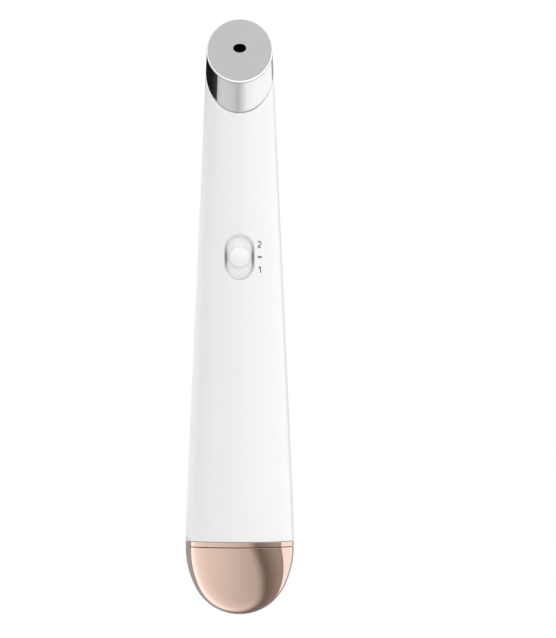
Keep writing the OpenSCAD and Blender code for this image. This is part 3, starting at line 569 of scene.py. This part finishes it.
def head_mesh():
    """Rings up the wall, round the rim on a rational quadratic arc between wall and face, in
    over the flat face to the hole, down through it, and back under the face and down the wall.
    A ring CRISP over the base edge keeps the edge's shading off the wall."""
    base_z = plane_height(SEAM_Z + SEAL_HALF / math.cos(SEAM_TILT), SEAM_TILT, TURN)
    base_in = plane_height(SEAM_Z + SEAL_HALF / math.cos(SEAM_TILT), SEAM_TILT, TURN, HEAD_WALL)
    edge_z = plane_height(FACE_Z, FACE_TILT, TURN)
    edge = ring_points(CONE_K - edge_z * SLOPE, TURN, edge_z)
    down = ring_points(SLOPE * np.ones(AROUND), TURN, -np.ones(AROUND))
    down /= np.linalg.norm(down, axis=1, keepdims=True)
    centre = np.array([0.0, 0.0, FACE_Z])
    inward = centre - edge
    inward /= np.linalg.norm(inward, axis=1, keepdims=True)
    wall_end = edge + down * RIM
    face_start = edge + inward * RIM
    opening = np.arccos(np.clip((down * inward).sum(1), -1, 1))
    weight = np.sin(opening / 2)[:, None]
    rings = []
    for part in (0.0, 0.35, 1.0, CRISP / BASE_EDGE):
        z = base_z + BASE_EDGE * part
        rings.append(ring_points(CONE_K - z * SLOPE - BASE_EDGE * max(1 - part, 0.0) ** 2, TURN, z))
    low = base_z + CRISP
    for part in np.linspace(0, 1, 14)[1:]:
        z = low + (wall_end[:, 2] - low) * part
        rings.append(ring_points(CONE_K - z * SLOPE, TURN, z))
    for t in np.linspace(0, 1, 13)[1:]:
        a, b, c = (1 - t) ** 2, 2 * weight * t * (1 - t), t ** 2
        rings.append((a * wall_end + b * edge + c * face_start) / (a + b + c))
    normal = np.array([0.0, -math.sin(FACE_TILT), math.cos(FACE_TILT)])
    hole = centre - inward * HOLE_R
    for part in np.linspace(0, 1, 10)[1:]:
        rings.append(face_start + (hole - inward * HOLE_EDGE - face_start) * part)
    for turn in np.linspace(0, math.pi / 2, 5)[1:]:
        back, sunk = HOLE_EDGE * (1 - math.sin(turn)), HOLE_EDGE * (1 - math.cos(turn))
        rings.append(hole - inward * back - normal * sunk)
    rings.append(hole - normal * HEAD_WALL)
    in_face_z = plane_height(FACE_Z - HEAD_WALL / math.cos(FACE_TILT), FACE_TILT, TURN, HEAD_WALL)
    in_edge = ring_points(CONE_K - in_face_z * SLOPE - HEAD_WALL, TURN, in_face_z)
    rings.append(in_edge)
    rings.append(ring_points(CONE_K - base_in * SLOPE - HEAD_WALL, TURN, base_in))
    grid = np.stack(rings)
    return grid, grid_faces(grid.shape[0], AROUND, wrap_rows=True).reshape(-1, 4)


mirror_chrome = skinned_material("mirror_chrome", (0.82, 0.82, 0.83), 0.025, spread=0.02, scale=250.0,
                                 bump=0.01, shade=0.04, metallic=1.0)
satin_chrome = skinned_material("satin_chrome", (0.80, 0.80, 0.805), 0.30, spread=0.06, scale=2500.0,
                                bump=0.12, shade=0.03, metallic=1.0)
head_points, head_faces = head_mesh()
head = make_piece("chrome_head", head_points, head_faces, "housing", ["head_cap"],
                  [mirror_chrome, satin_chrome])


def face_is_satin(piece):
    """Gives the flat treatment face the second material: the faces whose normal is the face's."""
    normals = np.empty(len(piece.data.polygons) * 3, np.float32)
    piece.data.polygons.foreach_get("normal", normals)
    outwards = np.array([0.0, -math.sin(FACE_TILT), math.cos(FACE_TILT)], np.float32)
    along = normals.reshape(-1, 3) @ outwards
    piece.data.polygons.foreach_set("material_index", (along > SATIN_LIMIT).astype(np.int32))


face_is_satin(head)
# A thin near-black ring just under the rim: a painted shade line
shade_line_high = plane_height(FACE_Z, FACE_TILT, TURN) - RIM
shade_line_rings = [(0.0, SHADE_LINE_PROUD), (SHADE_LINE_W, SHADE_LINE_PROUD), (SHADE_LINE_W, -SHADE_LINE_DEEP), (0.0, -SHADE_LINE_DEEP)]
shade_line_points = np.stack([
    ring_points(CONE_K - (shade_line_high - down) * SLOPE + out, TURN, shade_line_high - down)
    for down, out in shade_line_rings
])
rim_painted_shade = skinned_material("rim_painted_shade", (0.08, 0.08, 0.082), 0.4, spread=0.1, scale=1200.0)
make_piece("rim_shade_line", shade_line_points, grid_faces(4, AROUND, wrap_rows=True).reshape(-1, 4), "housing",
           [], [rim_painted_shade], turn_out=True)

# ---------------------------------------------------------------------------------------------
# Light window: a smoked lens pressed into the face's hole, with a hair-thin flange round it on
# the face. Inside the flange its front is slightly domed and lies deeper, the lamp behind it.
LENS_R = HOLE_R - 0.03 * MM
LENS_FLANGE = HOLE_R + 0.05 * MM
LENS_PROUD = 0.03 * MM
LENS_RIM_W = 0.2 * MM
LENS_TOP = 0.3 * MM
LENS_T = 1.2 * MM
LENS_CROWN = 6.0 * MM


def lathe(profile, origin=(0, 0, 0), axes=((1, 0, 0), (0, 1, 0), (0, 0, 1)), around=96):
    """A profile of (radius, height) turned about the third axis; the last point joins the first."""
    profile = np.asarray(profile, float)
    turn = np.linspace(0, 2 * math.pi, around, endpoint=False)
    first, second, third = np.asarray(axes, float)
    spread = np.cos(turn)[:, None] * first + np.sin(turn)[:, None] * second
    points = np.asarray(origin) + profile[:, 0, None, None] * spread + profile[:, 1, None, None] * third
    return points, grid_faces(len(profile), around, wrap_rows=True).reshape(-1, 4)


def arc(centre_r, centre_z, radius, start, end, count):
    """Points on a circle in the profile's plane, angles in degrees from outwards to upwards."""
    angle = np.radians(np.linspace(start, end, count))
    return np.stack([centre_r + radius * np.cos(angle), centre_z + radius * np.sin(angle)], -1)


face_axes = ((1, 0, 0), (0, math.cos(FACE_TILT), math.sin(FACE_TILT)),
             (0, -math.sin(FACE_TILT), math.cos(FACE_TILT)))
rise = np.linspace(1, 0, 9) * (LENS_R - LENS_RIM_W)
lens_profile = np.concatenate([
    [(0, -LENS_TOP - LENS_T), (LENS_R, -LENS_TOP - LENS_T)],
    [(LENS_R, 0.0), (LENS_FLANGE, 0.0)],
    arc(LENS_FLANGE - LENS_PROUD, 0.0, LENS_PROUD, 0, 90, 5)[1:],
    [(LENS_R - LENS_RIM_W, LENS_PROUD)],
    np.stack([rise, -LENS_TOP - LENS_CROWN + np.sqrt(LENS_CROWN ** 2 - rise ** 2)], -1),
])
lens_points, lens_faces = lathe(lens_profile, (0, 0, FACE_Z), face_axes)
smoked_lens = skinned_material("smoked_lens", (0.002, 0.0015, 0.0015), 0.4, spread=0.04, scale=800.0,
                               bump=0.02, specular=0.0)
make_piece("light_window", lens_points, lens_faces, "housing", ["led_lens"], [smoked_lens])

# ---------------------------------------------------------------------------------------------
# Slide knob: a round domed knob moulded in one with the flat shutter that closes the slot behind
# the recess, and with the boss that holds the switch lever. Same white plastic as the tube, its colour
# painted lighter than the tube's as painted light on the knob.
KNOB_R = 2.5 * MM
KNOB_TOP = -0.4 * MM
KNOB_DOME = 0.7 * MM
KNOB_SOFT = 0.5 * MM
KNOB_ROOT = 1.6 * MM
SHUTTER = (3.45 * MM, 8.4 * MM, 1.25 * MM, 2.05 * MM)
SHUTTER_CORNER = 0.5 * MM
BOSS = (1.8 * MM, 2.2 * MM, 3.65 * MM)
BOSS_CORNER = 0.3 * MM
SLAB_EDGE = 0.06 * MM

front_origin = np.array([0.0, -float(outer_radius(SLIDE_Z)), SLIDE_Z])
front_x = np.array([1.0, 0.0, 0.0])
front_in = np.array([0.0, math.cos(TAPER), -math.sin(TAPER)])
front_up = np.array([0.0, math.sin(TAPER), math.cos(TAPER)])


def knob_profile():
    """Dome of a sphere through the knob's edge, with the edge rounded, closed inside the shutter.
    The sphere's radius is (r^2 + h^2) / 2h for a dome of radius r and height h."""
    dome = (KNOB_R ** 2 + KNOB_DOME ** 2) / (2 * KNOB_DOME)
    run = np.linspace(1, 0, 14) * (KNOB_R - KNOB_SOFT)
    top = -KNOB_TOP
    cap = np.stack([run, top - dome + np.sqrt(dome ** 2 - run ** 2)], -1)
    shoulder = cap[0, 1]
    lean = math.degrees(math.asin((KNOB_R - KNOB_SOFT) / dome))
    side = arc(KNOB_R - KNOB_SOFT, shoulder, KNOB_SOFT, 0, 90 - lean, 8)
    side[:, 1] += shoulder - side[-1, 1]
    side[:, 0] += (KNOB_R - KNOB_SOFT) - side[-1, 0]
    side[:, 0] *= KNOB_R / side[0, 0]
    return np.concatenate([[(0, -KNOB_ROOT), (side[0, 0], -KNOB_ROOT)], side, cap[1:]])


def rounded_slab(half_w, half_l, y0, y1, edge, corner):
    """A flat plate with round corners between depths y0 and y1: rings of one rounded rectangle,
    x = +-(half_w - corner) + corner cos t and so for z, drawn in by edge at both faces."""
    turn = np.linspace(0, 2 * math.pi, 65)[:-1] + math.pi / 64
    sx = np.sign(np.cos(turn)) * (half_w - corner) + corner * np.cos(turn)
    sz = np.sign(np.sin(turn)) * (half_l - corner) + corner * np.sin(turn)
    rings = [(0.0, y0, 0.0), (1 - edge / half_w, y0, 1 - edge / half_l), (1.0, y0 + edge, 1.0),
             (1.0, y1 - edge, 1.0), (1 - edge / half_w, y1, 1 - edge / half_l), (0.0, y1, 0.0)]
    points = np.stack([
        front_origin + (sx * a)[:, None] * front_x + y * front_in + (sz * b)[:, None] * front_up
        for a, y, b in rings
    ])
    return points, grid_faces(len(rings), 64).reshape(-1, 4)[:, ::-1]


def knob_mesh():
    """The turned knob, the shutter plate and the boss behind it, as one mesh."""
    half_w, half_l, boss_in = BOSS
    parts = [
        lathe(knob_profile(), front_origin, (front_x, front_up, -front_in)),
        rounded_slab(*SHUTTER, SLAB_EDGE, SHUTTER_CORNER),
        rounded_slab(half_w, half_l, SHUTTER[3] - 0.1 * MM, boss_in, SLAB_EDGE, BOSS_CORNER),
    ]
    points = [part.reshape(-1, 3) for part, faces in parts]
    starts = np.cumsum([0] + [len(part) for part in points[:-1]])
    faces = [part_faces + start for (part, part_faces), start in zip(parts, starts)]
    return np.concatenate(points), np.concatenate(faces)


knob_points, knob_faces = knob_mesh()
# The tube's white with painted light: a lighter base colour than gloss_white
knob_white_painted_light = skinned_material("knob_white_painted_light", (0.90, 0.90, 0.902), 0.2, spread=0.05, scale=350.0, shade=0.015)
make_piece("slide_knob", knob_points, knob_faces, "slider", ["slider_button"],
           [knob_white_painted_light], turn_out=True)

# ---------------------------------------------------------------------------------------------
# Switch marks: a plain 2 and 1 with a dash between them, pad-printed in grey on the tube to the
# right of the recess. The print is a film that follows the tube's round wall.
MARK_X = 5.14 * MM
MARK_PITCH = 3.1 * MM
MARK_H = 1.75 * MM
MARK_W = 1.15 * MM
STROKE = 0.3 * MM
DASH = 0.46 * MM
FILM = 0.02 * MM


def stroke_mesh(path, width):
    """A flat line of constant width along a path of (x, z), laid on the tube as a thin film."""
    path = np.asarray(path, float)
    ahead = np.gradient(path, axis=0)
    ahead /= np.linalg.norm(ahead, axis=1, keepdims=True)
    side = np.stack([-ahead[:, 1], ahead[:, 0]], -1) * width / 2
    rings = []
    for offset, lift in ((-1, -0.5), (1, -0.5), (1, 1.0), (-1, 1.0)):
        flat = path + side * offset
        radius = outer_radius(SLIDE_Z + flat[:, 1]) + FILM * lift
        rings.append(ring_points(radius, flat[:, 0] / outer_radius(SLIDE_Z), SLIDE_Z + flat[:, 1]))
    points = np.stack(rings, 1)
    sides = grid_faces(len(path), 4).reshape(-1, 4)
    last = 4 * (len(path) - 1)
    ends = [[3, 2, 1, 0], [last, last + 1, last + 2, last + 3]]
    return points.reshape(-1, 3), np.concatenate([sides, ends])


def bowed(centre, radius, start, end, count=18):
    """Points of a stroke on a circle round centre, angles in degrees from +x towards +z."""
    angle = np.radians(np.linspace(start, end, count))
    return np.stack([centre[0] + radius * np.cos(angle), centre[1] + radius * np.sin(angle)], -1)


def mark_paths():
    """The strokes of the three marks with their widths, each moved to its place by the knob. The
    points are shares of the mark's half width and half height less half a stroke."""
    half_w, half_h = MARK_W / 2 - STROKE / 2, MARK_H / 2 - STROKE / 2
    two = np.concatenate([
        bowed((0, half_h - half_w), half_w, 165, -40),
        np.linspace((-half_w * 0.2, -half_h * 0.45), (-half_w, -half_h), 6),
        np.linspace((-half_w * 0.7, -half_h), (half_w, -half_h), 6),
    ])
    one = [np.array([(0.1 * MM, -half_h), (0.1 * MM, 0), (0.1 * MM, half_h)]),
           np.array([(0.1 * MM, half_h), (-0.12 * MM, half_h * 0.78), (-half_w * 0.8, half_h * 0.55)])]
    dash = [np.array([(-MARK_W / 2, 0), (0, 0), (MARK_W / 2, 0)])]
    placed = []
    for strokes, place, width in (([two], MARK_PITCH, STROKE), (dash, 0.0, DASH), (one, -MARK_PITCH, STROKE)):
        placed += [(stroke + np.array([MARK_X, place]), width) for stroke in strokes]
    return placed


mark_points, mark_faces, total = [], [], 0
for stroke, width in mark_paths():
    stroke_points, stroke_faces = stroke_mesh(stroke, width)
    mark_points.append(stroke_points)
    mark_faces.append(stroke_faces + total)
    total += len(stroke_points)
grey_print = skinned_material("grey_print", (0.2, 0.2, 0.205), 0.45, spread=0.1, scale=1500.0, shade=0.1)
make_piece("switch_marks", np.concatenate(mark_points), np.concatenate(mark_faces), "housing",
           [], [grey_print], turn_out=True)

# ---------------------------------------------------------------------------------------------
# Collar ring and end cap: turned aluminium, polished and anodised rose gold. The collar is glued
# under the tube's foot, with a fine shadow groove; the domed cap pulls off below an open seam.
RING_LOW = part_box("collar_ring")[0][2]
CAP_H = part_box("end_cap")[1][2]
TIP_R = 12.1 * MM
CAP_WALL = 1.2 * MM
BORE_R = 9.85 * MM
SIDE_R = (FOOT_R ** 2 + (CAP_H - TIP_R) ** 2 - TIP_R ** 2) / (2 * (FOOT_R - TIP_R))
JOIN = math.degrees(math.asin((CAP_H - TIP_R) / (SIDE_R - TIP_R)))
SOFT = 0.03 * MM
GROOVE = 0.1 * MM
GROOVE_IN = 0.6 * MM

rose_gold = skinned_material("rose_gold", (0.90, 0.66, 0.545), 0.02, spread=0.02, scale=250.0, bump=0.01,
                             shade=0.04, metallic=1.0)

collar_profile = np.concatenate([
    [(BORE_R, RING_LOW)],
    arc(FOOT_R - SOFT, RING_LOW + SOFT, SOFT, -90, 0, 6),
    [(FOOT_R, RING_LOW + CRISP), (FOOT_R, FOOT_Z - GROOVE - CRISP)],
    arc(FOOT_R - SOFT, FOOT_Z - GROOVE - SOFT, SOFT, 0, 90, 6),
    [(FOOT_R - GROOVE_IN, FOOT_Z - GROOVE), (FOOT_R - GROOVE_IN, FOOT_Z), (BORE_R, FOOT_Z)],
])
collar_points, collar_faces = lathe(collar_profile, around=AROUND)
make_piece("collar", collar_points, collar_faces, "housing", ["collar_ring"], [rose_gold])


def cap_profile():
    """Tip arc of TIP_R, then a side arc of SIDE_R tangent to it and upright at the rim, a broken
    rim edge, and the same two arcs less the wall back to the axis inside."""
    side_centre = FOOT_R - SIDE_R
    outside = np.concatenate([
        arc(0, TIP_R, TIP_R, -90, -JOIN, 48)[:-1],
        arc(side_centre, CAP_H, SIDE_R, -JOIN, -math.degrees(CRISP / SIDE_R), 28),
        arc(side_centre, CAP_H, SIDE_R, -math.degrees(SOFT / SIDE_R), 0, 1),
    ])
    rim = arc(FOOT_R - SOFT, CAP_H - SOFT, SOFT, 0, 90, 6)
    inner_r = FOOT_R - CAP_WALL
    inside = np.concatenate([
        [(inner_r, CAP_H)],
        arc(side_centre, CAP_H, SIDE_R - CAP_WALL, 0, -JOIN, 16)[1:],
        arc(0, TIP_R, TIP_R - CAP_WALL, -JOIN, -90, 24)[1:],
    ])
    return np.concatenate([outside, rim, inside])


cap_points, cap_faces = lathe(cap_profile(), around=AROUND)
make_piece("domed_cap", cap_points, cap_faces, "cap", ["end_cap"], [rose_gold])

# ---------------------------------------------------------------------------------------------
# Heating: the plug of black heat-proof plastic closes the tube under the head. On it lie a
# sintered ceramic disc with its resistance track and a soft heat-conducting pad, pressed against
# the back of the treatment face; a bead sensor sits beside them. Red leads run down to the board.
black_mould = skinned_material("black_mould", (0.03, 0.03, 0.032), 0.45, spread=0.15, scale=700.0, bump=0.08)
alumina = skinned_material("alumina", (0.82, 0.81, 0.76), 0.6, spread=0.1, scale=1500.0, bump=0.1)
heat_pad = skinned_material("heat_pad", (0.42, 0.55, 0.66), 0.75, spread=0.1, scale=900.0, bump=0.15)
red_wire = skinned_material("red_wire", (0.5, 0.03, 0.025), 0.45)
dress(black_mould, "head_plug", "thermistor")
dress(alumina, "heater_plate")
dress(heat_pad, "thermal_pad")
dress(red_wire, "heater_leads")

# ---------------------------------------------------------------------------------------------
# Lamp: a small red diode cast in clear red resin, set in the plug behind the light window, with
# two blue leads soldered to its pins.
red_lamp = skinned_material("red_lamp", (0.5, 0.03, 0.02), 0.12, spread=0.05)
blue_wire = skinned_material("blue_wire", (0.04, 0.1, 0.42), 0.45)
dress(red_lamp, "led")
dress(blue_wire, "led_leads")

# ---------------------------------------------------------------------------------------------
# Switch and board: a glass-fibre board with its coil, capacitors and chips, held to the chassis
# by four steel screws. The slide switch is soldered on it, and its lever sits in the knob's boss.
# A grey moulded plate holds the knob's shutter against the tube.
grey_mould = skinned_material("grey_mould", (0.36, 0.37, 0.38), 0.5, spread=0.12, scale=700.0, bump=0.08)
bright_steel = skinned_material("bright_steel", (0.62, 0.62, 0.63), 0.25, spread=0.15, metallic=1.0,
                                shade=0.08)
green_board = skinned_material("green_board", (0.02, 0.16, 0.07), 0.35, spread=0.1, scale=1200.0, shade=0.2)
dress(grey_mould, "slider_retainer")
dress(black_mould, "switch_lever", "switch_housing", "board_components")
dress(green_board, "circuit_board")
dress(bright_steel, "board_screws")

# ---------------------------------------------------------------------------------------------
# Chassis: two half shells moulded in grey plastic, closed round cell, board and motor and slid
# into the tube from below.
dress(grey_mould, "chassis_front", "chassis_rear")

# ---------------------------------------------------------------------------------------------
# Motor: a drawn steel can in a rubber sleeve, clamped between the half shells. A half-round
# tungsten weight is pressed on its shaft, and black leads go to the board.
soft_rubber = skinned_material("soft_rubber", (0.05, 0.05, 0.05), 0.7, spread=0.15, scale=500.0, bump=0.12)
tungsten = skinned_material("tungsten", (0.36, 0.36, 0.37), 0.35, spread=0.15, metallic=1.0, shade=0.1)
black_wire = skinned_material("black_wire", (0.025, 0.025, 0.025), 0.45)
dress(bright_steel, "motor_can", "motor_shaft")
dress(soft_rubber, "motor_sleeve")
dress(tungsten, "eccentric_weight")
dress(black_wire, "motor_leads")

# ---------------------------------------------------------------------------------------------
# Cell and contacts: one cell in a dark plastic wrap, between a stamped spring-metal contact at
# its head and a strip of the same metal that runs down beside it to the cap.
spring_brass = skinned_material("spring_brass", (0.80, 0.60, 0.28), 0.22, spread=0.15, metallic=1.0,
                                shade=0.1)
cell_wrap = skinned_material("cell_wrap", (0.12, 0.14, 0.17), 0.3, spread=0.1, scale=200.0, shade=0.1)
dress(cell_wrap, "battery_cell")
dress(spring_brass, "positive_contact", "negative_strip")

# ---------------------------------------------------------------------------------------------
# Neck and the cap's inside: a black moulded neck glued into the tube's foot, with a rubber ring
# that holds the cap. In the cap a black liner carries a pressed contact cup and the coil spring.
dress(black_mould, "neck_sleeve", "cap_liner")
dress(soft_rubber, "cap_seal")
dress(spring_brass, "cap_contact")
dress(bright_steel, "cap_spring")
